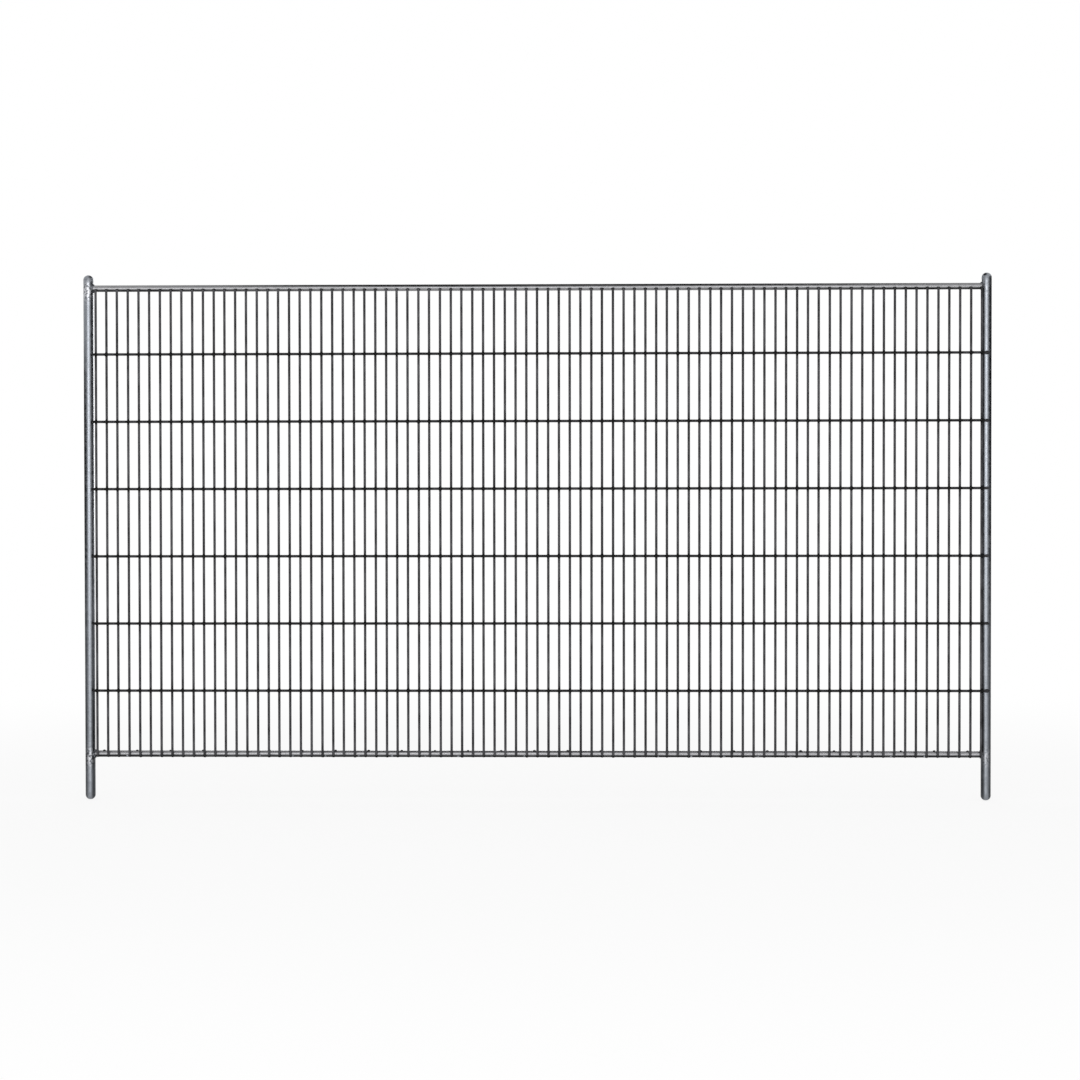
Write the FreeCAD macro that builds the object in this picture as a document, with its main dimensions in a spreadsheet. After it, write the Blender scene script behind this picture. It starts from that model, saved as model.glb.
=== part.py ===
import FreeCAD, Part
import enum
import math
import os
import Sketcher

# Anti-climb fence panel: a welded wire mat on the front of a frame of round tubes.
# The origin is the flat under the left upright's foot. +X runs along the panel to the
# right upright, +Y from the mat's side to the back, and +Z is up. All sizes are in mm.

doc = FreeCAD.newDocument("anti_climb_fence_panel")

# The driving dimensions, one cell of the sheet for each.
SIZES = {
    # Frame
    "panel_width": 3450,  # outside to outside of the uprights
    "panel_height": 2000,  # foot to top of the uprights
    "upright_diameter": 38,  # outside of an upright's tube
    "upright_wall": 1.5,  # thickness of an upright's tube
    "rail_diameter": 25,  # outside of a rail's tube
    "rail_wall": 1.5,  # thickness of a rail's tube
    "bottom_rail_height": 174,  # foot to the bottom rail's axis
    "top_rail_drop": 51,  # top of the uprights to the top rail's axis
    "weld_radius": 5,  # hollow of the weld where a rail meets an upright
    # Domed end caps of the uprights
    "cap_flat": 12,  # diameter of the flat at a dome's pole
    "cap_wall": 1.5,  # thickness of a cap's spigot
    "spigot_length": 15,  # how far a cap's spigot enters the tube
    "spigot_clearance": 0.1,  # gap all round between spigot and tube
    # Wire mat
    "vertical_wire": 9.5,  # diameter of an upright wire
    "horizontal_wire": 10,  # diameter of a cross wire
    "vertical_pitch": 41,  # upright wire to upright wire
    "horizontal_pitch": 256,  # cross wire to cross wire
    "lowest_wire": 243,  # bottom rail's axis to the lowest cross wire
    "left_overhang": 11,  # cross wire's left end past the first upright wire
    "right_overhang": 26,  # cross wire's right end past the last upright wire
    "mat_offset": 5,  # how far the mat sits to the right of the panel's middle
    "top_lap": 10,  # upright wire's overlap on the top rail
    "bottom_lap": 18.5,  # upright wire's overlap on the bottom rail
    "weld_set_down": 2,  # how deep two wires are welded into each other
    "seat_gap": 0.2,  # gap between a wire and the tube it is tacked to
}

sheet = doc.addObject("Spreadsheet::Sheet", "Sizes")
for row, (alias, number) in enumerate(SIZES.items(), start=1):
    sheet.set(f"A{row}", alias.replace("_", " "))
    sheet.set(f"B{row}", str(number))
    sheet.setAlias(f"B{row}", alias)
doc.recompute()

# Places along the panel: the uprights' axes stand one span apart, and the mat has as many
# upright wires as fit with their axes between the uprights.
SPAN = "(Sizes.panel_width - Sizes.upright_diameter)"
CLEAR_WIDTH = f"({SPAN} - Sizes.upright_diameter)"
WIRE_COUNT = f"(floor(({CLEAR_WIDTH} - 2 * Sizes.mat_offset) / Sizes.vertical_pitch) + 1)"
MAT_WIDTH = f"(({WIRE_COUNT} - 1) * Sizes.vertical_pitch)"
FIRST_WIRE_X = f"(({SPAN} - {MAT_WIDTH}) / 2 + Sizes.mat_offset)"

# Heights: the cross wires climb from the lowest one as long as they stay below the top rail.
DOME_HEIGHT = "sqrt((Sizes.upright_diameter / 2)^2 - (Sizes.cap_flat / 2)^2)"
TOP_RAIL_Z = "(Sizes.panel_height - Sizes.top_rail_drop)"
LOWEST_WIRE_Z = "(Sizes.bottom_rail_height + Sizes.lowest_wire)"
CLIMB = f"({TOP_RAIL_Z} - Sizes.rail_diameter - {LOWEST_WIRE_Z})"
CROSS_COUNT = f"(floor({CLIMB} / Sizes.horizontal_pitch) + 1)"
WIRE_FOOT_Z = "(Sizes.bottom_rail_height + Sizes.rail_diameter / 2 - Sizes.bottom_lap)"
WIRE_HEAD_Z = f"({TOP_RAIL_Z} - Sizes.rail_diameter / 2 + Sizes.top_lap)"

# Depths: the cross wires lie in front of the uprights, the upright wires are welded to the
# back of the cross wires, and the rails stand where the upright wires rest on them.
CROSS_Y = "(-Sizes.upright_diameter / 2 - Sizes.seat_gap - Sizes.horizontal_wire / 2)"
WIRE_RADII = "(Sizes.horizontal_wire + Sizes.vertical_wire) / 2"
WIRE_Y = f"({CROSS_Y} + {WIRE_RADII} - Sizes.weld_set_down)"
RAIL_Y = f"({WIRE_Y} + Sizes.vertical_wire / 2 + Sizes.seat_gap + Sizes.rail_diameter / 2)"

# The mat comes in three strips of nearly equal width, parted halfway between two wires.
SIDE_COUNT = f"floor(({WIRE_COUNT} + 1) / 3)"
MIDDLE_COUNT = f"({WIRE_COUNT} - 2 * {SIDE_COUNT})"
SIDE_WIDTH = f"({SIDE_COUNT} * Sizes.vertical_pitch - Sizes.vertical_pitch / 2)"
MIDDLE_WIDTH = f"({MIDDLE_COUNT} * Sizes.vertical_pitch)"

# Welds: each is worked out on stubs of the two tubes that reach past the weld's toes.
WELD_STUB = "(3 * Sizes.weld_radius)"

# Caps: the spigot slides into the tube, and the dome is hollowed to the spigot's bore.
SPIGOT_RADIUS = "(Sizes.upright_diameter / 2 - Sizes.upright_wall - Sizes.spigot_clearance)"
CAP_BORE_RADIUS = f"({SPIGOT_RADIUS} - Sizes.cap_wall)"

UPRIGHT_X = {"left": "0", "right": SPAN}
CAP_POLE_Z = {"foot": "0", "top": "Sizes.panel_height"}
RAIL_Z = {"bottom": "Sizes.bottom_rail_height", "top": TOP_RAIL_Z}

# Turns: an eight-sided bar with flats to the front, the back and both sides, a bar made along
# Z laid along X, and a foot cap turned over for the top.
FLATS_SQUARE = FreeCAD.Placement(FreeCAD.Vector(), FreeCAD.Rotation(FreeCAD.Vector(0, 0, 1), 22.5))
ALONG_X = FreeCAD.Placement(FreeCAD.Vector(), FreeCAD.Rotation(FreeCAD.Vector(0, 1, 0), 90))
UPSIDE_DOWN = FreeCAD.Placement(FreeCAD.Vector(), FreeCAD.Rotation(FreeCAD.Vector(1, 0, 0), 180))


class Point(enum.IntEnum):
    """How a sketch constraint names a point of a line, arc or circle."""

    START = 1
    END = 2
    CENTRE = 3


class Axis(enum.IntEnum):
    """How a sketch constraint names the sketch's own axes."""

    HORIZONTAL = -1
    VERTICAL = -2


ORIGIN = (Axis.HORIZONTAL, Point.START)


def place(obj, x="0", y="0", z="0"):
    """Bind an object's position to three expressions."""
    obj.setExpression("Placement.Base.x", x)
    obj.setExpression("Placement.Base.y", y)
    obj.setExpression("Placement.Base.z", z)


def new_body(label):
    """Start one sub-part, named for its file."""
    body = doc.addObject("PartDesign::Body", label)
    body.Label = label
    return body


def origin_feature(body, role):
    """Find one of a body's own base planes or axes."""
    return next(f for f in body.Origin.OriginFeatures if f.Role == role)


def new_sketch(body, name, role):
    """Start a sketch on one of a body's own base planes."""
    sketch = body.newObject("Sketcher::SketchObject", name)
    sketch.AttachmentSupport = [(origin_feature(body, role), "")]
    sketch.MapMode = "FlatFace"
    return sketch


def value(expression):
    """Work out an expression as a plain number, to draw a sketch near its final shape."""
    return float(sheet.evalExpression(expression))


def constrain(sketch, kind, *places):
    """Add a constraint that has no size."""
    sketch.addConstraint(Sketcher.Constraint(kind, *places))


def dimension(sketch, name, expression, kind, *places):
    """Add a named constraint whose size follows an expression."""
    index = sketch.addConstraint(Sketcher.Constraint(kind, *places, value(expression)))
    sketch.renameConstraint(index, name)
    sketch.setExpression("Constraints." + name, expression)


def circle(sketch, name, diameter, x="0"):
    """Draw a circle on the sketch's horizontal axis, at a distance from its origin."""
    centre = FreeCAD.Vector(value(x), 0, 0)
    ring = sketch.addGeometry(Part.Circle(centre, FreeCAD.Vector(0, 0, 1), value(diameter) / 2))
    constrain(sketch, "PointOnObject", ring, Point.CENTRE, Axis.HORIZONTAL)
    dimension(sketch, name + "_place", x, "DistanceX", *ORIGIN, ring, Point.CENTRE)
    dimension(sketch, name + "_diameter", diameter, "Diameter", ring)


def pad(body, name, sketch, length):
    """Give a closed sketch a length along its own normal."""
    feature = body.newObject("PartDesign::Pad", name)
    feature.Profile = sketch
    feature.setExpression("Length", length)
    return feature


def tube(label, role, diameter, wall, length):
    """Pad a ring into a straight tube that starts on the body's own plane."""
    body = new_body(label)
    section = new_sketch(body, label + "_section", role)
    circle(section, "outside", diameter)
    circle(section, "bore", f"{diameter} - 2 * {wall}")
    pad(body, label + "_pad", section, length)
    return body


def cylinder(name, diameter, length):
    """A solid round bar, used to cut one piece to the outside of another."""
    bar = doc.addObject("Part::Cylinder", name)
    bar.setExpression("Radius", f"{diameter} / 2")
    bar.setExpression("Height", length)
    return bar


def cut(label, base, tool):
    """Take one solid out of another."""
    result = doc.addObject("Part::Cut", label)
    result.Label = label
    result.Base = base
    result.Tool = tool
    return result


def upright_envelope(name, side):
    """The full round of an upright, as a cutting tool."""
    bar = cylinder(name, "Sizes.upright_diameter", "Sizes.panel_height")
    place(bar, x=UPRIGHT_X[side])
    return bar


def rail_envelope(name, end):
    """The full round of a rail, as a cutting tool."""
    bar = cylinder(name, "Sizes.rail_diameter", SPAN)
    bar.Placement = ALONG_X
    place(bar, y=RAIL_Y, z=RAIL_Z[end])
    return bar


def upright(side):
    """An upright: a plain tube between its two caps."""
    length = f"Sizes.panel_height - 2 * {DOME_HEIGHT}"
    body = tube(f"{side}_upright", "XY_Plane", "Sizes.upright_diameter", "Sizes.upright_wall", length)
    place(body, x=UPRIGHT_X[side], z=DOME_HEIGHT)
    return body


def cap_profile(sketch):
    """Half of a cap's section, from the flat at its pole to the end of its spigot."""
    outer = value("Sizes.upright_diameter / 2")
    flat = value("Sizes.cap_flat / 2")
    height = value(DOME_HEIGHT)
    spigot = value(SPIGOT_RADIUS)
    inner = value(CAP_BORE_RADIUS)
    top = height + value("Sizes.spigot_length")
    centre = FreeCAD.Vector(0, height, 0)
    normal = FreeCAD.Vector(0, 0, 1)

    def line(x1, y1, x2, y2):
        ends = FreeCAD.Vector(x1, y1, 0), FreeCAD.Vector(x2, y2, 0)
        return sketch.addGeometry(Part.LineSegment(*ends))

    def arc(radius, start_angle):
        ring = Part.Circle(centre, normal, radius)
        return sketch.addGeometry(Part.ArcOfCircle(ring, start_angle, 0))

    pole = line(0, 0, flat, 0)
    dome = arc(outer, -math.acos(flat / outer))
    seat = line(outer, height, spigot, height)
    skirt = line(spigot, height, spigot, top)
    rim = line(spigot, top, inner, top)
    bore = line(inner, top, inner, height)
    hollow = arc(inner, -math.pi / 2)
    axis = line(0, height - inner, 0, 0)

    constrain(sketch, "Coincident", pole, Point.START, *ORIGIN)
    constrain(sketch, "Coincident", pole, Point.END, dome, Point.START)
    constrain(sketch, "Coincident", dome, Point.END, seat, Point.START)
    constrain(sketch, "Coincident", seat, Point.END, skirt, Point.START)
    constrain(sketch, "Coincident", skirt, Point.END, rim, Point.START)
    constrain(sketch, "Coincident", rim, Point.END, bore, Point.START)
    constrain(sketch, "Coincident", bore, Point.END, hollow, Point.END)
    constrain(sketch, "Coincident", hollow, Point.START, axis, Point.START)
    constrain(sketch, "Coincident", axis, Point.END, *ORIGIN)
    constrain(sketch, "Coincident", hollow, Point.CENTRE, dome, Point.CENTRE)
    constrain(sketch, "PointOnObject", dome, Point.CENTRE, Axis.VERTICAL)
    for level in (pole, seat, rim):
        constrain(sketch, "Horizontal", level)
    for plumb in (skirt, bore, axis):
        constrain(sketch, "Vertical", plumb)
    constrain(sketch, "Horizontal", dome, Point.CENTRE, dome, Point.END)
    constrain(sketch, "Horizontal", dome, Point.CENTRE, bore, Point.END)
    dimension(sketch, "flat_radius", "Sizes.cap_flat / 2", "DistanceX", pole, Point.START, pole, Point.END)
    dimension(sketch, "dome_radius", "Sizes.upright_diameter / 2", "Radius", dome)
    dimension(sketch, "spigot_radius", SPIGOT_RADIUS, "DistanceX", *ORIGIN, skirt, Point.START)
    dimension(sketch, "bore_radius", CAP_BORE_RADIUS, "DistanceX", *ORIGIN, bore, Point.START)
    dimension(sketch, "skirt", "Sizes.spigot_length", "DistanceY", skirt, Point.START, skirt, Point.END)


def cap(side, end):
    """A domed cap that closes one end of an upright and seats on the tube's end."""
    label = f"{side}_{end}_cap"
    body = new_body(label)
    profile = new_sketch(body, label + "_profile", "XZ_Plane")
    cap_profile(profile)
    turned = body.newObject("PartDesign::Revolution", label + "_turned")
    turned.Profile = profile
    turned.ReferenceAxis = (profile, ["V_Axis"])
    turned.Angle = 360
    if end == "top":
        body.Placement = UPSIDE_DOWN
    place(body, x=UPRIGHT_X[side], z=CAP_POLE_Z[end])
    return body


def rail(end):
    """A rail: a tube coped at both ends to the uprights that it is welded between."""
    coped = tube(f"{end}_rail_stock", "YZ_Plane", "Sizes.rail_diameter", "Sizes.rail_wall", SPAN)
    place(coped, y=RAIL_Y, z=RAIL_Z[end])
    for side in UPRIGHT_X:
        tool = upright_envelope(f"{end}_rail_{side}_cope", side)
        coped = cut(f"{end}_rail_{side}_coped", coped, tool)
    coped.Label = f"{end}_rail"
    return coped


def saddle_edges(feature):
    """Names of the edges where two round bars of a feature run into each other."""
    found = []
    for number, edge in enumerate(feature.Shape.Edges, start=1):
        if edge.Curve.TypeId == "Part::GeomBSplineCurve":
            found.append(f"Edge{number}")
    return found


def weld(end, side):
    """The weld round a rail's end: a hollow fillet on the joint, less the two tubes."""
    label = f"{end}_{side}_weld"
    joint = new_body(label + "_joint")
    post_section = new_sketch(joint, label + "_post_section", "XY_Plane")
    circle(post_section, "post", "Sizes.upright_diameter")
    post = pad(joint, label + "_post", post_section, f"Sizes.rail_diameter + 2 * {WELD_STUB}")
    post.SideType = "Symmetric"
    arm_section = new_sketch(joint, label + "_arm_section", "YZ_Plane")
    circle(arm_section, "arm", "Sizes.rail_diameter", RAIL_Y)
    arm = pad(joint, label + "_arm", arm_section, f"Sizes.upright_diameter / 2 + {WELD_STUB}")
    arm.Reversed = side == "right"
    doc.recompute()
    bead = joint.newObject("PartDesign::Fillet", label + "_bead")
    bead.Base = (arm, saddle_edges(arm))
    bead.setExpression("Radius", "Sizes.weld_radius")
    place(joint, x=UPRIGHT_X[side], z=RAIL_Z[end])
    off_upright = cut(label + "_off_upright", joint, upright_envelope(label + "_upright", side))
    return cut(label, off_upright, rail_envelope(label + "_rail", end))


def eight_sided_bar(body, name, diameter, length):
    """A wire as an eight-sided bar, one diameter across its flats."""
    bar = body.newObject("PartDesign::AdditivePrism", name)
    bar.Polygon = 8
    bar.setExpression("Circumradius", f"{diameter} / 2 / cos(22.5 deg)")
    bar.setExpression("Height", length)
    return bar


def repeat(body, name, feature, axis, pitch, count):
    """Repeat a feature of a body at an even pitch along one of its axes."""
    pattern = body.newObject("PartDesign::LinearPattern", name)
    pattern.Originals = [feature]
    pattern.Direction = (origin_feature(body, axis), [""])
    pattern.Mode = "Spacing"
    pattern.setExpression("Offset", pitch)
    pattern.setExpression("Occurrences", count)
    body.Tip = pattern


def mat_strip(label, first_wire, count, start_x, length):
    """One strip of the mat: its upright wires, fused to its stretch of every cross wire."""
    body = new_body(label)
    wire = eight_sided_bar(body, label + "_wire", "Sizes.vertical_wire", f"{WIRE_HEAD_Z} - {WIRE_FOOT_Z}")
    wire.Placement = FLATS_SQUARE
    place(wire, f"{FIRST_WIRE_X} + {first_wire} * Sizes.vertical_pitch", WIRE_Y, WIRE_FOOT_Z)
    repeat(body, label + "_wires", wire, "X_Axis", "Sizes.vertical_pitch", count)
    cross = eight_sided_bar(body, label + "_cross", "Sizes.horizontal_wire", length)
    cross.Placement = ALONG_X * FLATS_SQUARE
    place(cross, start_x, CROSS_Y, LOWEST_WIRE_Z)
    repeat(body, label + "_crosses", cross, "Z_Axis", "Sizes.horizontal_pitch", CROSS_COUNT)
    return body


def wire_mat():
    """The mat's three strips, from the left end of its cross wires to the right end."""
    left_length = f"Sizes.left_overhang + {SIDE_WIDTH}"
    right_length = f"Sizes.right_overhang + {SIDE_WIDTH}"
    left_end = f"{FIRST_WIRE_X} - Sizes.left_overhang"
    left_cut = f"{FIRST_WIRE_X} + {SIDE_WIDTH}"
    right_cut = f"{left_cut} + {MIDDLE_WIDTH}"
    right_first = f"({SIDE_COUNT} + {MIDDLE_COUNT})"
    return [
        mat_strip("mesh_left", "0", SIDE_COUNT, left_end, left_length),
        mat_strip("mesh_middle", SIDE_COUNT, MIDDLE_COUNT, left_cut, MIDDLE_WIDTH),
        mat_strip("mesh_right", right_first, SIDE_COUNT, right_cut, right_length),
    ]


def check(pieces):
    """Stop if anything in the document failed, or a piece is empty or not sound."""
    for obj in doc.Objects:
        if "Invalid" in obj.State or "Error" in obj.State:
            raise RuntimeError(f"{obj.Label} failed: {obj.State}")
    for piece in pieces:
        if piece.Shape.isNull() or not piece.Shape.isValid() or not piece.Shape.Solids:
            raise RuntimeError(f"{piece.Label} has no sound solid")


pieces = []
for side in UPRIGHT_X:
    pieces.append(upright(side))
    pieces.append(cap(side, "foot"))
    pieces.append(cap(side, "top"))
for end in RAIL_Z:
    pieces.append(rail(end))
    for side in UPRIGHT_X:
        pieces.append(weld(end, side))
pieces += wire_mat()

doc.recompute()
check(pieces)
os.makedirs("parts", exist_ok=True)
for piece in pieces:
    piece.Shape.exportStep(f"parts/{piece.Label}.step")
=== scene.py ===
import math

import bpy
import numpy as np
from mathutils import Matrix, Vector


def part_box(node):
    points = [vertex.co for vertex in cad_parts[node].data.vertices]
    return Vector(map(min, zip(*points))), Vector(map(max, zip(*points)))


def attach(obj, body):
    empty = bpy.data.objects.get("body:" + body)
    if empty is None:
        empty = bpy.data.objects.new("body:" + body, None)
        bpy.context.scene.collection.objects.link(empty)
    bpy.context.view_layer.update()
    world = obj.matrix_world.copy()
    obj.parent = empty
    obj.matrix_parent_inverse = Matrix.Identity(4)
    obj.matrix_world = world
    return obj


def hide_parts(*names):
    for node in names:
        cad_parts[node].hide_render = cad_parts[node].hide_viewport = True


# Looks of an anti-climb fence panel: a frame of round galvanised tubes with a dark wire mat
# welded to its front. Units are metres, in the frame of the solids: +X along the panel, +Y to
# the back, +Z up, with the left foot at the origin.

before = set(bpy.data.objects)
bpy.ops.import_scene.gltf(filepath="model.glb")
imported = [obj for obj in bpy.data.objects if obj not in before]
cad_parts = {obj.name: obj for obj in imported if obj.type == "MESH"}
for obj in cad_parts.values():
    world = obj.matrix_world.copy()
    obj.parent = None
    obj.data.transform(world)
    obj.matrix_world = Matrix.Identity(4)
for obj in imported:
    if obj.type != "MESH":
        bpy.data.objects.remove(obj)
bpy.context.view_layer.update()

MM = 0.001
X, Y, Z = range(3)
SIDES = ("left", "right")
RAILS = ("bottom", "top")
MESH_NODES = ("mesh_left", "mesh_middle", "mesh_right")

# Wire mat
UPRIGHT_WIRE = 9.5 * MM
CROSS_WIRE = 10 * MM
WIRE_PITCH = 41 * MM
CROSS_PITCH = 256 * MM
LOWEST_CROSS_WIRE = 417 * MM
LEFT_OVERHANG = 11 * MM
RIGHT_OVERHANG = 26 * MM
WIRE_TOLERANCE = 0.5 * MM
WIRE_EDGE = 1 * MM
WIRE_RING_SPACING = 400 * MM
WIRE_SIDES = 16
BURN_CORE = 6 * MM
BURN_REACH = 12 * MM

# Tubes
UPRIGHT_SIDES = 64
RAIL_SIDES = 48
RING_SPACING = 12 * MM
EDGE_STEPS = 4
SEAM_DEPTH = 0.5 * MM
DOME_STEPS = 24
CAP_FLAT = {"foot": 6 * MM, "top": 1 * MM}

# Painted shade on the tubes: heights and widths in radii, places along a rail in half lengths
UNDERSIDE_LINE = {"bottom": 0.15, "top": 0.3}
UNDERSIDE_FADE = 0.3
TOP_SHADE_LINE = -0.1
TOP_SHADE_FADE = 0.5
TOP_SHADE_SHARE = 0.6
TOP_SHADE_ENDS = (0.25, 0.85)
# Painted shade on the uprights' flanks near the ground
FOOT_SHADE_SHARE = 0.75
FOOT_SHADE_SIDES = (0.25, 0.65)
FOOT_SHADE_HEIGHTS = (300 * MM, 750 * MM)

# Lumps of weld metal: half sizes in x, y and z in millimetres, and grids of rows and sides
CROSSING_FLASH = (6.6, 1.9, 6.6)
FLASH_LOBES = 4
FLASH_SWELL = 0.25
FLASH_GRID = (3, 12)
RAIL_TACK = {"top": (6.5, 3.2, 5.0), "bottom": (6.8, 3.8, 5.2)}
RAIL_TACK_DROP = {"top": 7 * MM, "bottom": 7.5 * MM}
RAIL_TACK_STAND_OFF = 0.8 * MM
END_TACK = {"left": (4.6, 10.5, 5.0), "right": (9.0, 2.4, 6.4)}
LEFT_TACK_STEP = 1 * MM
END_TACK_GRID = (7, 20)
SEAM_TACK = (5.2, 3.6, 3.8)
SEAM_SPOT = (5.0, 2.2, 3.6)
SEAM_TACK_LIFT = math.radians(72)
SEAM_SPOT_LIFT = math.radians(-32)
SEAM_TACK_PITCH = 126.5 * MM
FIRST_SEAM_TACK = 54 * MM
SEAM_SPOT_STEP = -37 * MM
SEAM_SPOT_MARGIN = 4 * MM
TACK_GRID = (5, 16)
LUMP_SCATTER = (0.85, 1.15)

# Beads round the rails' ends, and the splashes of zinc about them
CORNER_BEAD = 4.2 * MM
BEAD_STEPS = 208
BEAD_SIDES = 12
RIPPLE_PITCH = 3.2 * MM
RIPPLE_SHARE = 0.06
SWAY_SHARE = 0.05
SWAY_WAVES = (3, 5, 8)
SPLASH = {"bottom_left": 1.0, "bottom_right": 0.5, "top_left": 1.0, "top_right": 0.15}
SPLASH_REACH = 30 * MM
SPLASH_DROP = 12 * MM
RAIL_SPLASH_SHARE = 0.6

# Grain of the finishes
SPANGLE_SIZE = 12 * MM
CLOUD_SIZE = 70 * MM
SPATTER_SIZE = 9 * MM
SKIN_GRAIN_DEPTH = 0.3 * MM
WORN_PATCH_SIZE = 60 * MM
PIT_SIZE = 7 * MM
PIT_DEPTH = 0.5 * MM
SCALE_PATCH_SIZE = 8 * MM

# Sockets of a Mix node for colours
MIX_SHARE, MIX_FIRST, MIX_SECOND, MIX_RESULT = 0, 6, 7, 2

# Camera, fitted to the photograph: 1080 pixels across
IMAGE_SIZE = 1080
FOCAL_PIXELS = 2500
SENSOR = 36.0
CAMERA_YAW = math.radians(-1.2)
CAMERA_PITCH = math.radians(1.049)
CAMERA_ROLL = math.radians(-0.071)
CAMERA_TARGET = Vector((1720.6, 0, 989.5)) * MM
CAMERA_DISTANCE = 9511.4 * MM
VIEW_REACH = 1000.0

# Studio: places in metres, lamps in watts, brightness with white as one
WHITE = (1, 1, 1, 1)
WORLD_LIGHT = 0.75
FLOOR_REACH = 400.0
FLOOR_FADE = (2.0, 6.0)
FLOOR_GLOW = 0.85
SIDE_CARD_X = {"left": -5.0, "right": 8.4}
SIDE_CARD_Y = (-6.0, 14.0)
SIDE_CARD_Z = (0.0, 4.0)
TOP_CARD_X = (0.2, 3.5)
TOP_CARD_Y = (-1.5, 3.0)
TOP_CARD_Z = 4.5
WHITE_CARD_X = -1.0
WHITE_CARD_Y = (-1.2, 1.5)
WHITE_CARD_Z = (1.75, 3.2)
LAMPS = {"front_lamp": ((1.2, -10.5, 1.8), 300.0), "back_lamp": ((2.4, 10.5, 1.8), 220.0)}
LAMP_WIDTH = 8.0
LAMP_HEIGHT = 2.1

RANDOM_SEED = 41
rng = np.random.default_rng(RANDOM_SEED)


def linear(code):
    """A linear colour from an sRGB hex code: each channel by the sRGB curve."""
    channels = np.array([int(code[i:i + 2], 16) for i in (1, 3, 5)]) / 255
    curve = np.where(channels <= 0.04045, channels / 12.92, ((channels + 0.055) / 1.055) ** 2.4)
    return (*curve.tolist(), 1.0)


def add(tree, kind, links=None, values=None, stops=(), **settings):
    """Add a node.

    settings are its properties, values its sockets, links the sockets that it is fed by, and
    stops the places and hex colours along a colour ramp.
    """
    node = tree.nodes.new(kind)
    for name, setting in settings.items():
        setattr(node, name, setting)
    for socket, value in (values or {}).items():
        node.inputs[socket].default_value = value
    for socket, source in (links or {}).items():
        tree.links.new(source, node.inputs[socket])
    for number, (position, code) in enumerate(stops):
        node.color_ramp.elements[number].position = position
        node.color_ramp.elements[number].color = linear(code)
    return node


def new_material(name):
    """An empty node material and its tree."""
    material = bpy.data.materials.new(name)
    material.use_nodes = True
    material.node_tree.nodes.clear()
    return material, material.node_tree


def galvanised_tube(name, dull, bright, clouded):
    """Steel tube, hot-dip galvanised and weathered.

    Zinc freezes in flat crystals a centimetre or so across, each with its own grey and gloss,
    and clouds over in the open. The blue tint of the uprights' colours is a painted reflection
    of a blue sky. The heat of welding leaves pale and dark splashes on it. A painted shade, in
    cloudy patches, darkens the rails' undersides, the upper half of the top rail's middle and
    the uprights' flanks near the ground. The splashes and the skin's grain are drawn coarser
    than the real ones, so that they show.
    """
    material, tree = new_material(name)
    place = add(tree, "ShaderNodeTexCoord").outputs["Object"]
    splash = add(tree, "ShaderNodeAttribute", attribute_name="weld_splash").outputs["Fac"]
    # Painted shade: how far each point's colour is darkened, stored on the pieces
    painted_shade = add(tree, "ShaderNodeAttribute", attribute_name="painted_shade").outputs["Fac"]
    spangle = add(tree, "ShaderNodeTexVoronoi", {"Vector": place}, {"Scale": 1 / SPANGLE_SIZE})
    cloud = add(
        tree, "ShaderNodeTexNoise", {"Vector": place}, {"Scale": 1 / CLOUD_SIZE, "Detail": 4.0}
    ).outputs["Fac"]
    spatter = add(
        tree, "ShaderNodeTexNoise", {"Vector": place}, {"Scale": 1 / SPATTER_SIZE, "Detail": 2.0}
    ).outputs["Fac"]
    crystal = add(tree, "ShaderNodeSeparateColor", {"Color": spangle.outputs["Color"]}).outputs["Red"]
    zinc = add(tree, "ShaderNodeValToRGB", {"Fac": crystal}, stops=((0, dull), (1, bright)))
    weathered = add(
        tree, "ShaderNodeMix", {MIX_FIRST: zinc.outputs["Color"], MIX_SHARE: cloud},
        {MIX_SECOND: linear(clouded)}, data_type="RGBA",
    )
    blotch = add(
        tree, "ShaderNodeValToRGB", {"Fac": spatter}, stops=((0.4, "#45464a"), (0.52, "#c4c5c9"))
    )
    splashed = add(
        tree, "ShaderNodeMix",
        {
            MIX_FIRST: weathered.outputs[MIX_RESULT],
            MIX_SECOND: blotch.outputs["Color"],
            MIX_SHARE: splash,
        },
        data_type="RGBA",
    )
    patchy = add(
        tree, "ShaderNodeMapRange", {"Value": cloud},
        {"From Min": 0.35, "From Max": 0.65, "To Min": 0.85, "To Max": 1.15},
    )
    shade_share = add(tree, "ShaderNodeMath", {0: painted_shade, 1: patchy.outputs["Result"]}, operation="MULTIPLY")
    # Painted shade: the zinc mixed towards near black, in cloudy patches, where the attribute says
    shaded_zinc = add(
        tree, "ShaderNodeMix",
        {MIX_FIRST: splashed.outputs[MIX_RESULT], MIX_SHARE: shade_share.outputs["Value"]},
        {MIX_SECOND: linear("#17181a")}, data_type="RGBA",
    )
    rough = add(tree, "ShaderNodeMapRange", {"Value": crystal}, {"To Min": 0.3, "To Max": 0.4})
    skin_grain = add(
        tree, "ShaderNodeBump", {"Height": spatter}, {"Strength": 0.12, "Distance": SKIN_GRAIN_DEPTH}
    )
    shader = add(
        tree, "ShaderNodeBsdfPrincipled",
        {
            "Base Color": shaded_zinc.outputs[MIX_RESULT],
            "Roughness": rough.outputs["Result"],
            "Normal": skin_grain.outputs["Normal"],
        },
        {"Metallic": 1.0},
    )
    add(tree, "ShaderNodeOutputMaterial", {"Surface": shader.outputs["BSDF"]})
    return material


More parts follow.
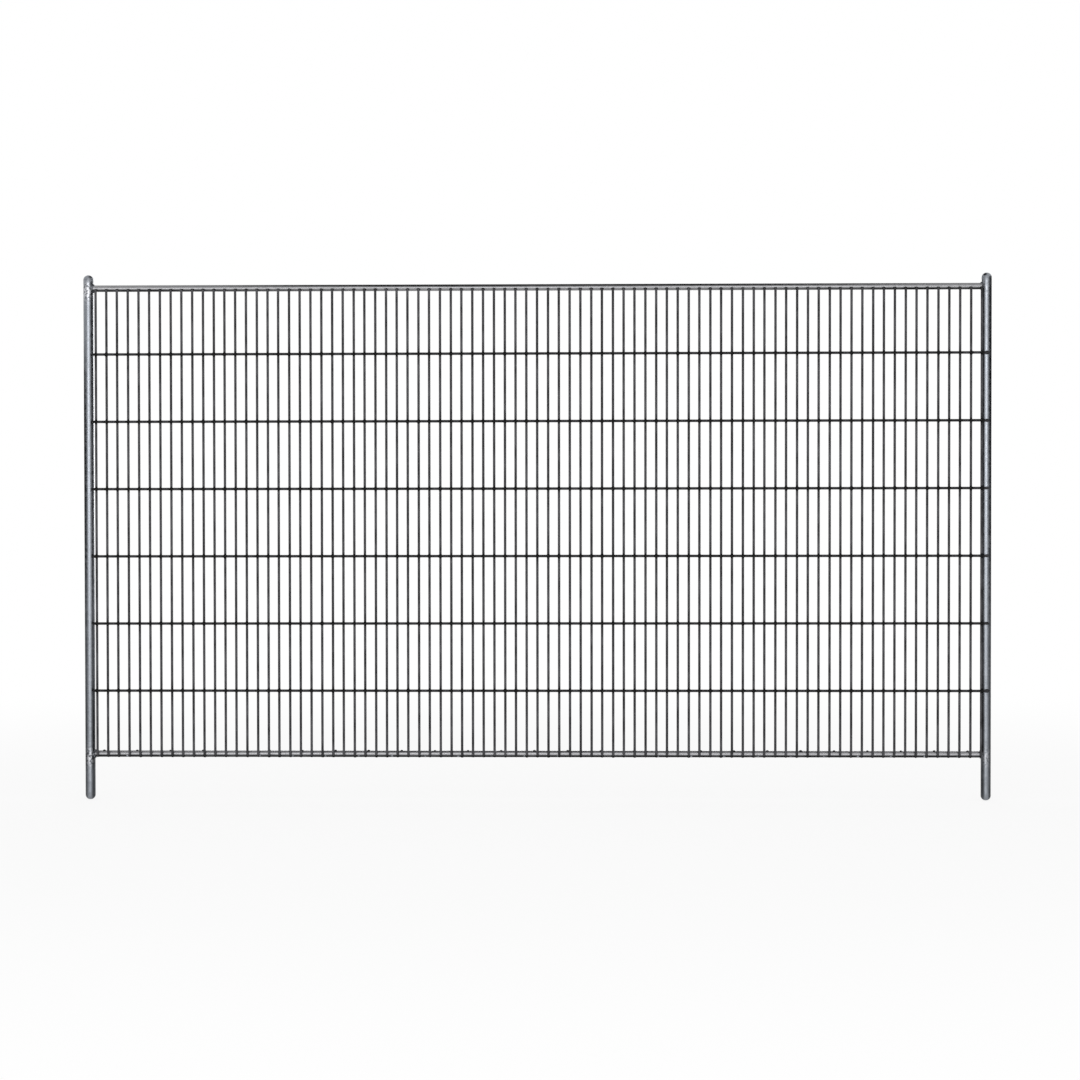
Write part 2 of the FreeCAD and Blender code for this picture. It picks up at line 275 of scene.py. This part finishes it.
def mesh_wire(name, dark, light, axis, first, pitch):
    """Drawn steel wire with a dark, dull skin, welded at every crossing.

    The scale left by drawing and annealing is nearly black, with greyer places a few
    centimetres long where it has worn off, and fine pits that take the gloss away. The pits
    are drawn coarser than the real ones, so that they show. Welding leaves a burnt, black
    place at each crossing: they lie a pitch apart along the wire, from the first one on.
    """
    material, tree = new_material(name)
    place = add(tree, "ShaderNodeTexCoord").outputs["Object"]
    mottle = add(
        tree, "ShaderNodeTexNoise", {"Vector": place}, {"Scale": 1 / WORN_PATCH_SIZE, "Detail": 4.0}
    ).outputs["Fac"]
    tone = add(tree, "ShaderNodeValToRGB", {"Fac": mottle}, stops=((0.35, dark), (0.68, light)))
    along = add(tree, "ShaderNodeSeparateXYZ", {"Vector": place}).outputs[axis]
    pitches = add(
        tree, "ShaderNodeMapRange", {"Value": along},
        {"From Min": first, "From Max": first + pitch}, clamp=False,
    )
    gap = add(tree, "ShaderNodeMath", {0: pitches.outputs["Result"]}, {1: 0.5}, operation="PINGPONG")
    burn = add(
        tree, "ShaderNodeMapRange", {"Value": gap.outputs["Value"]},
        {"From Min": BURN_CORE / pitch, "From Max": BURN_REACH / pitch, "To Min": 1.0, "To Max": 0.0},
    )
    scorched = add(
        tree, "ShaderNodeMix", {MIX_FIRST: tone.outputs["Color"], MIX_SHARE: burn.outputs["Result"]},
        {MIX_SECOND: linear("#040404")}, data_type="RGBA",
    )
    rough = add(tree, "ShaderNodeMapRange", {"Value": mottle}, {"To Min": 0.5, "To Max": 0.65})
    pits = add(tree, "ShaderNodeTexNoise", {"Vector": place}, {"Scale": 1 / PIT_SIZE, "Detail": 3.0})
    pitted = add(
        tree, "ShaderNodeBump", {"Height": pits.outputs["Fac"]}, {"Strength": 0.15, "Distance": PIT_DEPTH}
    )
    shader = add(
        tree, "ShaderNodeBsdfPrincipled",
        {
            "Base Color": scorched.outputs[MIX_RESULT],
            "Roughness": rough.outputs["Result"],
            "Normal": pitted.outputs["Normal"],
        },
        {"Metallic": 0.3, "Specular IOR Level": 0.25},
    )
    add(tree, "ShaderNodeOutputMaterial", {"Surface": shader.outputs["BSDF"]})
    return material


def weld_metal(name, dark, light):
    """Weld metal as it freezes, with no grinding: dull scale and bright metal in patches.

    The patches are drawn coarser than the real ones, so that they show.
    """
    material, tree = new_material(name)
    place = add(tree, "ShaderNodeTexCoord").outputs["Object"]
    scale = add(
        tree, "ShaderNodeTexNoise", {"Vector": place}, {"Scale": 1 / SCALE_PATCH_SIZE, "Detail": 4.0}
    ).outputs["Fac"]
    tone = add(tree, "ShaderNodeValToRGB", {"Fac": scale}, stops=((0.4, dark), (0.6, light)))
    rough = add(tree, "ShaderNodeMapRange", {"Value": scale}, {"To Min": 0.45, "To Max": 0.6})
    shader = add(
        tree, "ShaderNodeBsdfPrincipled",
        {"Base Color": tone.outputs["Color"], "Roughness": rough.outputs["Result"]},
        {"Metallic": 0.8},
    )
    add(tree, "ShaderNodeOutputMaterial", {"Surface": shader.outputs["BSDF"]})
    return material


def tube_axis(node, along):
    """Middle, radius and ends of a straight tube's box: along is the axis that it runs on."""
    low, high = (np.array(corner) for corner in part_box(node))
    across = Z if along == X else X
    return (low + high) / 2, (high[across] - low[across]) / 2, low[along], high[along]


def skin(name, rings, material, nodes=(), closed_path=False):
    """Join rings of points into one mesh of closed skins, and make it a piece of the panel.

    rings has the shape copies, rings, sides, xyz. Each ring is joined to the next by quads
    all the way round. A closed path joins the last ring to the first; an open one gets a
    fan of triangles at each end, round the mean of its end ring.
    """
    copies, count, sides, _ = rings.shape
    ring = np.arange(count if closed_path else count - 1)[:, None]
    side = np.arange(sides)[None, :]
    onward, round_on = (ring + 1) % count, (side + 1) % sides
    corners = [
        ring * sides + side, ring * sides + round_on, onward * sides + round_on, onward * sides + side
    ]
    faces = [np.stack(corners, axis=-1).reshape(-1, 4)]
    points = rings.reshape(copies, count * sides, 3)
    if not closed_path:
        poles = rings[:, [0, -1]].mean(axis=2)
        points = np.concatenate([points, poles], axis=1)
        first, last, turn = count * sides, count * sides + 1, np.arange(sides)
        turned, end = (turn + 1) % sides, (count - 1) * sides
        faces.append(np.stack([turned, turn, np.full(sides, first)], axis=-1))
        faces.append(np.stack([end + turn, end + turned, np.full(sides, last)], axis=-1))
    step = (np.arange(copies) * points.shape[1])[:, None, None]
    loops = [face for part in faces for face in (part[None] + step).reshape(-1, part.shape[1]).tolist()]
    mesh = bpy.data.meshes.new(name)
    mesh.from_pydata(points.reshape(-1, 3).tolist(), [], loops)
    mesh.polygons.foreach_set("use_smooth", np.ones(len(mesh.polygons), bool))
    mesh.materials.append(material)
    mesh.update()
    piece = bpy.data.objects.new(name, mesh)
    bpy.context.scene.collection.objects.link(piece)
    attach(piece, "root")
    if nodes:
        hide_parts(*nodes)
    return piece


def round_ring(sides):
    """Cosine and sine of evenly spaced angles round a circle."""
    angle = np.arange(sides) * 2 * np.pi / sides
    return np.cos(angle), np.sin(angle)


def bars(middles, radius, length_axis, start, stop, edge, spacing, sides):
    """Straight round bars with softened ends, as rings: a circle carried along one axis.

    The radius grows along a quarter circle of the size of edge at each end. middles holds
    one point on the axis of each bar.
    """
    turn = np.linspace(0, np.pi / 2, EDGE_STEPS)
    rise = edge * (1 - np.cos(turn))
    grown = radius - edge * (1 - np.sin(turn))
    inner = np.linspace(start + edge, stop - edge, max(2, round((stop - start) / spacing)))[1:-1]
    along = np.concatenate([start + rise, inner, (stop - rise)[::-1]])
    radii = np.concatenate([grown, np.full(inner.size, radius), grown[::-1]])
    cos, sin = round_ring(sides)
    first, second = [(Y, Z), (Z, X), (X, Y)][length_axis]
    rings = np.zeros((len(middles), along.size, sides, 3))
    rings[..., length_axis] = along[None, :, None]
    rings[..., first] = middles[:, first, None, None] + (radii[:, None] * cos)[None]
    rings[..., second] = middles[:, second, None, None] + (radii[:, None] * sin)[None]
    return rings


def lumps(middles, half_sizes, grid, lobes=0, swell=0.0):
    """Small closed lumps: an ellipsoid about each middle, whose girth in x and z may swell in lobes.

    The girth is one minus the swell times the cosine of the angle times the number of lobes, so
    four lobes point between the axes. The rings run from the front, low y, to the back, and the
    grid gives their number and their sides.
    """
    rows, sides = grid
    height = -np.cos(np.linspace(0, np.pi, rows + 2)[1:-1])
    girth = np.sqrt(1 - height ** 2)
    cos, sin = round_ring(sides)
    swelling = 1 - swell * np.cos(lobes * np.arange(sides) * 2 * np.pi / sides)
    unit = np.zeros((rows, sides, 3))
    unit[..., X] = girth[:, None] * swelling * sin
    unit[..., Y] = height[:, None]
    unit[..., Z] = girth[:, None] * swelling * cos
    return middles[:, None, None] + half_sizes[:, None, None] * unit[None]


def scattered(sizes, count):
    """Half sizes for a number of lumps, from millimetres, each a little larger or smaller."""
    return np.array(sizes) * MM * rng.uniform(*LUMP_SCATTER, (count, 1))


def mark(piece, name, formula):
    """Store one number for each point of a piece, worked out from the points' places."""
    points = np.zeros(len(piece.data.vertices) * 3)
    piece.data.vertices.foreach_get("co", points)
    numbers = formula(points.reshape(-1, 3)).astype(np.float32)
    piece.data.attributes.new(name, "FLOAT", "POINT").data.foreach_set("value", numbers)


def weld_splash(points):
    """How strongly a weld has splashed each point: the largest of the joints' bell curves of distance.

    A joint's curve is centred on the upright's front, a little below the rail's axis.
    """
    shares = []
    for joint, share in SPLASH.items():
        end, side = joint.split("_")
        post, radius, _, _ = tube_axis(f"{side}_upright", Z)
        height = tube_axis(f"{end}_rail", X)[0][Z] - SPLASH_DROP
        centre = np.array([post[X], post[Y] - radius, height])
        gap = np.linalg.norm(points - centre, axis=1)
        shares.append(share * np.exp(-(gap / SPLASH_REACH) ** 2))
    return np.max(shares, axis=0)


def share_between(numbers, start, stop):
    """Nought at start, one at stop, and a straight line between them."""
    return np.clip((numbers - start) / (stop - start), 0, 1)


def rail_painted_shade(points, end, middle, radius, half_length):
    """How much painted shade each point of a rail takes.

    Painted shade darkens the underside, from a line below the axis on downward. On the top
    rail it does so towards the ends only, and in between a painted shade darkens the upper
    half, from near the axis on upward.
    """
    height = (points[:, Z] - middle[Z]) / radius
    line = UNDERSIDE_LINE[end]
    underside_shade = share_between(-height, line, line + UNDERSIDE_FADE)
    if end == "bottom":
        return underside_shade
    outer = share_between(np.abs(points[:, X] - middle[X]) / half_length, *TOP_SHADE_ENDS)
    top_shade = TOP_SHADE_SHARE * share_between(height, TOP_SHADE_LINE, TOP_SHADE_LINE + TOP_SHADE_FADE)
    return outer * underside_shade + (1 - outer) * top_shade


def foot_painted_shade(points, middle, radius):
    """How much painted shade each point of an upright takes: near the ground, on the flanks.

    It is painted shade, darker towards the flanks and towards the ground. The share grows with
    the distance from the upright's middle plane, and fades with the height.
    """
    flank = share_between(np.abs(points[:, X] - middle[X]) / radius, *FOOT_SHADE_SIDES)
    low, high = FOOT_SHADE_HEIGHTS
    return FOOT_SHADE_SHARE * flank * share_between(points[:, Z], high, low)


def wire_mat(first_wire, worn_wire, dark_wire, burnt):
    """The mat: upright wires behind cross wires, a flash of weld metal at each crossing, and tacks."""
    low = np.array(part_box("mesh_left")[0])
    high = np.array(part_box("mesh_right")[1])
    count = round((high[X] - RIGHT_OVERHANG - first_wire) / WIRE_PITCH) + 1
    stand = np.zeros((count, 3))
    stand[:, X] = first_wire + np.arange(count) * WIRE_PITCH
    stand[:, X] += rng.uniform(-WIRE_TOLERANCE, WIRE_TOLERANCE, count)
    stand[:, Y] = high[Y] - UPRIGHT_WIRE / 2
    rings = bars(stand, UPRIGHT_WIRE / 2, Z, low[Z], high[Z], WIRE_EDGE, WIRE_RING_SPACING, WIRE_SIDES)
    skin("upright_wires", rings, worn_wire, MESH_NODES)

    levels = int((high[Z] - LOWEST_CROSS_WIRE) / CROSS_PITCH) + 1
    lie = np.zeros((levels, 3))
    lie[:, Y] = low[Y] + CROSS_WIRE / 2
    lie[:, Z] = LOWEST_CROSS_WIRE + np.arange(levels) * CROSS_PITCH
    rings = bars(lie, CROSS_WIRE / 2, X, low[X], high[X], WIRE_EDGE, WIRE_RING_SPACING, WIRE_SIDES)
    skin("cross_wires", rings, dark_wire, MESH_NODES)

    meeting_y = (lie[0, Y] + CROSS_WIRE / 2 + stand[0, Y] - UPRIGHT_WIRE / 2) / 2
    crossing = np.broadcast_arrays(stand[None, :, X], meeting_y, lie[:, None, Z])
    crossing = np.stack(crossing, axis=-1).reshape(-1, 3)
    flash = scattered(CROSSING_FLASH, len(crossing))
    rings = lumps(crossing, flash, FLASH_GRID, FLASH_LOBES, FLASH_SWELL)
    skin("crossing_welds", rings, burnt)

    for end, sizes in RAIL_TACK.items():
        middle, radius, _, _ = tube_axis(f"{end}_rail", X)
        drop = RAIL_TACK_DROP[end]
        seats = stand.copy()
        seats[:, Y] = middle[Y] - math.sqrt(radius ** 2 - drop ** 2) - RAIL_TACK_STAND_OFF
        seats[:, Z] = middle[Z] - drop
        rings = lumps(seats, scattered(sizes, count), TACK_GRID)
        skin(f"{end}_rail_tacks", rings, burnt)

    # The left tacks lie beside the wires' ends, and the right ones behind the wires.
    tack_x = {"left": low[X] - LEFT_TACK_STEP, "right": tube_axis("right_upright", Z)[0][X]}
    wire_y = {"left": lie[:, Y], "right": lie[:, Y] + CROSS_WIRE / 2}
    for side, sizes in END_TACK.items():
        post, radius, _, _ = tube_axis(f"{side}_upright", Z)
        seats = lie.copy()
        seats[:, X] = tack_x[side]
        surface = post[Y] - np.sqrt(radius ** 2 - (seats[:, X] - post[X]) ** 2)
        seats[:, Y] = (surface + wire_y[side]) / 2
        rings = lumps(seats, scattered(sizes, levels), END_TACK_GRID)
        skin(f"{side}_end_tacks", rings, burnt)


def upright(side, zinc):
    """An upright's tube, and a dome on each of its ends: a circle turned about the tube's axis."""
    middle, radius, low, high = tube_axis(f"{side}_upright", Z)
    rings = bars(middle[None], radius, Z, low, high, SEAM_DEPTH, RING_SPACING, UPRIGHT_SIDES)
    tube = skin(f"{side}_upright_tube", rings, zinc, (f"{side}_upright",))
    pieces = [tube]
    cos, sin = round_ring(UPRIGHT_SIDES)
    for end, corner, seat in (("foot", 0, low), ("top", 1, high)):
        node = f"{side}_{end}_cap"
        pole_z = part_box(node)[corner][Z]
        lean = np.linspace(math.asin(CAP_FLAT[end] / radius), math.pi / 2, DOME_STEPS)
        rise = 1 - np.cos(lean) / math.cos(lean[0])
        rise = np.concatenate([[0], rise, [1]])
        radii = np.concatenate([[CAP_FLAT[end] / 2], radius * np.sin(lean), [radius - SEAM_DEPTH]])
        if end == "top":
            rise, radii = rise[::-1], radii[::-1]
        rings = np.zeros((1, rise.size, UPRIGHT_SIDES, 3))
        rings[0, ..., X] = middle[X] + radii[:, None] * cos
        rings[0, ..., Y] = middle[Y] + radii[:, None] * sin
        rings[0, ..., Z] = (pole_z + (seat - pole_z) * rise)[:, None]
        pieces.append(skin(f"{side}_{end}_dome", rings, zinc, (node,)))
    for piece in pieces:
        mark(piece, "weld_splash", weld_splash)
        # Painted shade on the flanks near the ground
        mark(piece, "painted_shade", lambda points: foot_painted_shade(points, middle, radius))


def rail(end, zinc, bead):
    """A rail's tube, and the rippled bead round each of its ends."""
    middle, radius, low, high = tube_axis(f"{end}_rail", X)
    rings = bars(middle[None], radius, X, low, high, SEAM_DEPTH, RING_SPACING, RAIL_SIDES)
    tube = skin(f"{end}_rail_tube", rings, zinc, (f"{end}_rail",))
    mark(tube, "weld_splash", lambda points: RAIL_SPLASH_SHARE * weld_splash(points))
    # Painted shade on the rail's underside, and on the top rail's upper half between its ends
    mark(tube, "painted_shade", lambda points: rail_painted_shade(points, end, middle, radius, (high - low) / 2))
    for side in SIDES:
        corner_bead(end, side, middle, radius, bead)


def corner_bead(end, side, middle, radius, bead):
    """The weld round a rail's end: a small circle carried along the saddle line where the tubes meet.

    The saddle goes round the rail, and stands off the upright's axis by the root of the
    upright's radius squared less the distance in y squared. The circle's size ripples along it,
    and sways with the welder's hand.
    """
    post, post_radius, _, _ = tube_axis(f"{side}_upright", Z)
    hand = 1 if side == "left" else -1
    turn = np.arange(BEAD_STEPS) * 2 * np.pi / BEAD_STEPS
    ripple = RIPPLE_SHARE * np.sin(turn * round(2 * np.pi * radius / RIPPLE_PITCH))
    sway = sum(SWAY_SHARE * np.sin(waves * turn + rng.uniform(0, 2 * np.pi)) for waves in SWAY_WAVES)
    girth = 1 + ripple + sway
    outward = np.stack([np.zeros(BEAD_STEPS), np.cos(turn), np.sin(turn)], axis=-1)
    path = np.array([0, middle[Y], middle[Z]]) + radius * outward
    path[:, X] = post[X] + hand * np.sqrt(post_radius ** 2 - (path[:, Y] - post[Y]) ** 2)
    along_rail = np.array([1.0, 0, 0])
    cos, sin = round_ring(BEAD_SIDES)
    spokes = cos[None, :, None] * outward[:, None] - sin[None, :, None] * along_rail
    rings = path[:, None] + CORNER_BEAD * girth[:, None, None] * spokes
    skin(f"{end}_{side}_bead", rings[None], bead, (f"{end}_{side}_weld",), closed_path=True)


def seam_tacks(burnt, bead):
    """Small tacks along the top of the bottom rail, each with a spot low on the rail's front to its left."""
    middle, radius, low, high = tube_axis("bottom_rail", X)
    x = np.arange(FIRST_SEAM_TACK, high - FIRST_SEAM_TACK / 2, SEAM_TACK_PITCH)
    for name, step, lift, sizes, material in (
        ("seam_tacks", 0, SEAM_TACK_LIFT, SEAM_TACK, burnt),
        ("seam_spots", SEAM_SPOT_STEP, SEAM_SPOT_LIFT, SEAM_SPOT, bead),
    ):
        seats = np.zeros((x.size, 3))
        seats[:, X] = np.maximum(x + step, low + SEAM_SPOT_MARGIN)
        seats[:, Y] = middle[Y] - radius * math.cos(lift)
        seats[:, Z] = middle[Z] + radius * math.sin(lift)
        skin(name, lumps(seats, scattered(sizes, x.size), TACK_GRID), material)


def camera():
    """The camera at the photograph's viewing angle."""
    forward = Vector((
        math.sin(CAMERA_YAW) * math.cos(CAMERA_PITCH),
        math.cos(CAMERA_YAW) * math.cos(CAMERA_PITCH),
        -math.sin(CAMERA_PITCH),
    ))
    level = Vector((math.cos(CAMERA_YAW), -math.sin(CAMERA_YAW), 0))
    plumb = level.cross(forward)
    right = level * math.cos(CAMERA_ROLL) + plumb * math.sin(CAMERA_ROLL)
    up = plumb * math.cos(CAMERA_ROLL) - level * math.sin(CAMERA_ROLL)
    data = bpy.data.cameras.new("camera")
    data.sensor_width = SENSOR
    data.lens = SENSOR * FOCAL_PIXELS / IMAGE_SIZE
    data.clip_end = VIEW_REACH
    eye = bpy.data.objects.new("camera", data)
    turn = Matrix((right, up, -forward)).transposed().to_4x4()
    eye.matrix_world = Matrix.Translation(CAMERA_TARGET - forward * CAMERA_DISTANCE) @ turn
    bpy.context.scene.collection.objects.link(eye)
    bpy.context.scene.camera = eye


def seen_directly(tree):
    """One for rays from the camera, a reflection or a refraction, and nought for the rest."""
    path = add(tree, "ShaderNodeLightPath").outputs
    seen = path["Is Camera Ray"]
    for ray in ("Is Glossy Ray", "Is Transmission Ray"):
        seen = add(tree, "ShaderNodeMath", {0: seen, 1: path[ray]}, operation="MAXIMUM").outputs["Value"]
    return seen


def sheet(name, corners, material):
    """A flat four-cornered sheet of the studio."""
    mesh = bpy.data.meshes.new(name)
    mesh.from_pydata(corners, [], [(0, 1, 2, 3)])
    mesh.materials.append(material)
    flat = bpy.data.objects.new(name, mesh)
    bpy.context.scene.collection.objects.link(flat)
    return flat


def surroundings():
    """White all round, at a plain level for what it lights."""
    world = bpy.data.worlds.new("studio")
    bpy.context.scene.world = world
    world.use_nodes = True
    tree = world.node_tree
    tree.nodes.clear()
    strength = add(
        tree, "ShaderNodeMapRange", {"Value": seen_directly(tree)}, {"To Min": WORLD_LIGHT, "To Max": 1.0}
    )
    white = add(tree, "ShaderNodeBackground", {"Strength": strength.outputs["Result"]}, {"Color": WHITE})
    add(tree, "ShaderNodeOutputWorld", {"Surface": white.outputs["Background"]})


def pale_floor():
    """A pale floor that keeps a soft shadow, and goes over to plain white with the distance."""
    material, tree = new_material("pale_floor")
    place = add(tree, "ShaderNodeTexCoord").outputs["Object"]
    distance = add(tree, "ShaderNodeVectorMath", {0: place}, operation="LENGTH")
    fade_start, fade_end = FLOOR_FADE
    white = add(
        tree, "ShaderNodeMapRange", {"Value": distance.outputs["Value"]},
        {"From Min": fade_start, "From Max": fade_end, "To Min": FLOOR_GLOW, "To Max": 1.0},
        interpolation_type="SMOOTHSTEP",
    )
    share = add(
        tree, "ShaderNodeMath", {0: seen_directly(tree), 1: white.outputs["Result"]}, operation="MULTIPLY"
    )
    matt = add(tree, "ShaderNodeBsdfDiffuse", values={"Color": linear("#f2f2f2")})
    glow = add(tree, "ShaderNodeEmission", values={"Color": WHITE, "Strength": 1.0})
    blend = add(
        tree, "ShaderNodeMixShader",
        {0: share.outputs["Value"], 1: matt.outputs["BSDF"], 2: glow.outputs["Emission"]},
    )
    add(tree, "ShaderNodeOutputMaterial", {"Surface": blend.outputs["Shader"]})
    near, far = -FLOOR_REACH, FLOOR_REACH
    floor = sheet("floor", [(near, near, 0), (far, near, 0), (far, far, 0), (near, far, 0)], material)
    floor.location.x = CAMERA_TARGET.x


def cards():
    """Cards that the tubes mirror and that light nothing.

    Dark ones, to each side and overhead, make the dark lines along the tubes. They stand well
    off the panel, so that seen from above the tubes mirror the pale floor. A white one, next to
    the top of the left upright, keeps its left flank pale there.
    """
    dark, tree = new_material("dark_card")
    cloth = add(tree, "ShaderNodeBsdfDiffuse", values={"Color": linear("#202020")})
    add(tree, "ShaderNodeOutputMaterial", {"Surface": cloth.outputs["BSDF"]})
    pale, tree = new_material("white_card")
    glow = add(tree, "ShaderNodeEmission", values={"Color": WHITE, "Strength": 1.0})
    add(tree, "ShaderNodeOutputMaterial", {"Surface": glow.outputs["Emission"]})
    left, right = TOP_CARD_X
    near, far = TOP_CARD_Y
    over = [(x, y, TOP_CARD_Z) for x, y in ((left, near), (right, near), (right, far), (left, far))]
    hung = [sheet("top_card", over, dark)]
    for name, material, x, (near, far), (foot, head) in (
        ("left_card", dark, SIDE_CARD_X["left"], SIDE_CARD_Y, SIDE_CARD_Z),
        ("right_card", dark, SIDE_CARD_X["right"], SIDE_CARD_Y, SIDE_CARD_Z),
        ("white_card", pale, WHITE_CARD_X, WHITE_CARD_Y, WHITE_CARD_Z),
    ):
        corners = [(x, near, foot), (x, far, foot), (x, far, head), (x, near, head)]
        hung.append(sheet(name, corners, material))
    for card in hung:
        card.visible_camera = False
        card.visible_diffuse = False
        card.visible_shadow = False


def lamps():
    """A wide soft lamp behind the camera and a weaker one on the panel's other side."""
    for name, (place, watts) in LAMPS.items():
        lamp = bpy.data.lights.new(name, "AREA")
        lamp.shape = "RECTANGLE"
        lamp.size = LAMP_WIDTH
        lamp.size_y = LAMP_HEIGHT
        lamp.energy = watts
        holder = bpy.data.objects.new(name, lamp)
        holder.location = place
        holder.rotation_euler = (CAMERA_TARGET - holder.location).to_track_quat("-Z", "Y").to_euler()
        holder.visible_camera = False
        bpy.context.scene.collection.objects.link(holder)


# The uprights' zinc is tinted blue: a painted reflection of a blue sky. The rails' zinc is neutral grey.
upright_zinc = galvanised_tube("hot_dip_galvanised_upright", "#82868c", "#989ca2", "#84888e")
rail_zinc = galvanised_tube("hot_dip_galvanised_rail", "#878789", "#9d9d9f", "#89898b")
first_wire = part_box("mesh_left")[0][X] + LEFT_OVERHANG
worn_wire = mesh_wire("worn_drawn_wire", "#2e2e30", "#565659", "Z", LOWEST_CROSS_WIRE, CROSS_PITCH)
dark_wire = mesh_wire("dark_drawn_wire", "#1c1c1d", "#3c3c3f", "X", first_wire, WIRE_PITCH)
bead = weld_metal("zinc_sprayed_weld_bead", "#3a3b3e", "#8f9298")
burnt = weld_metal("burnt_weld_tack", "#0c0c0d", "#2a2a2c")

wire_mat(first_wire, worn_wire, dark_wire, burnt)
for side in SIDES:
    upright(side, upright_zinc)
for end in RAILS:
    rail(end, rail_zinc, bead)
seam_tacks(burnt, bead)

camera()
surroundings()
pale_floor()
cards()
lamps()
bpy.context.scene.view_settings.view_transform = "Standard"
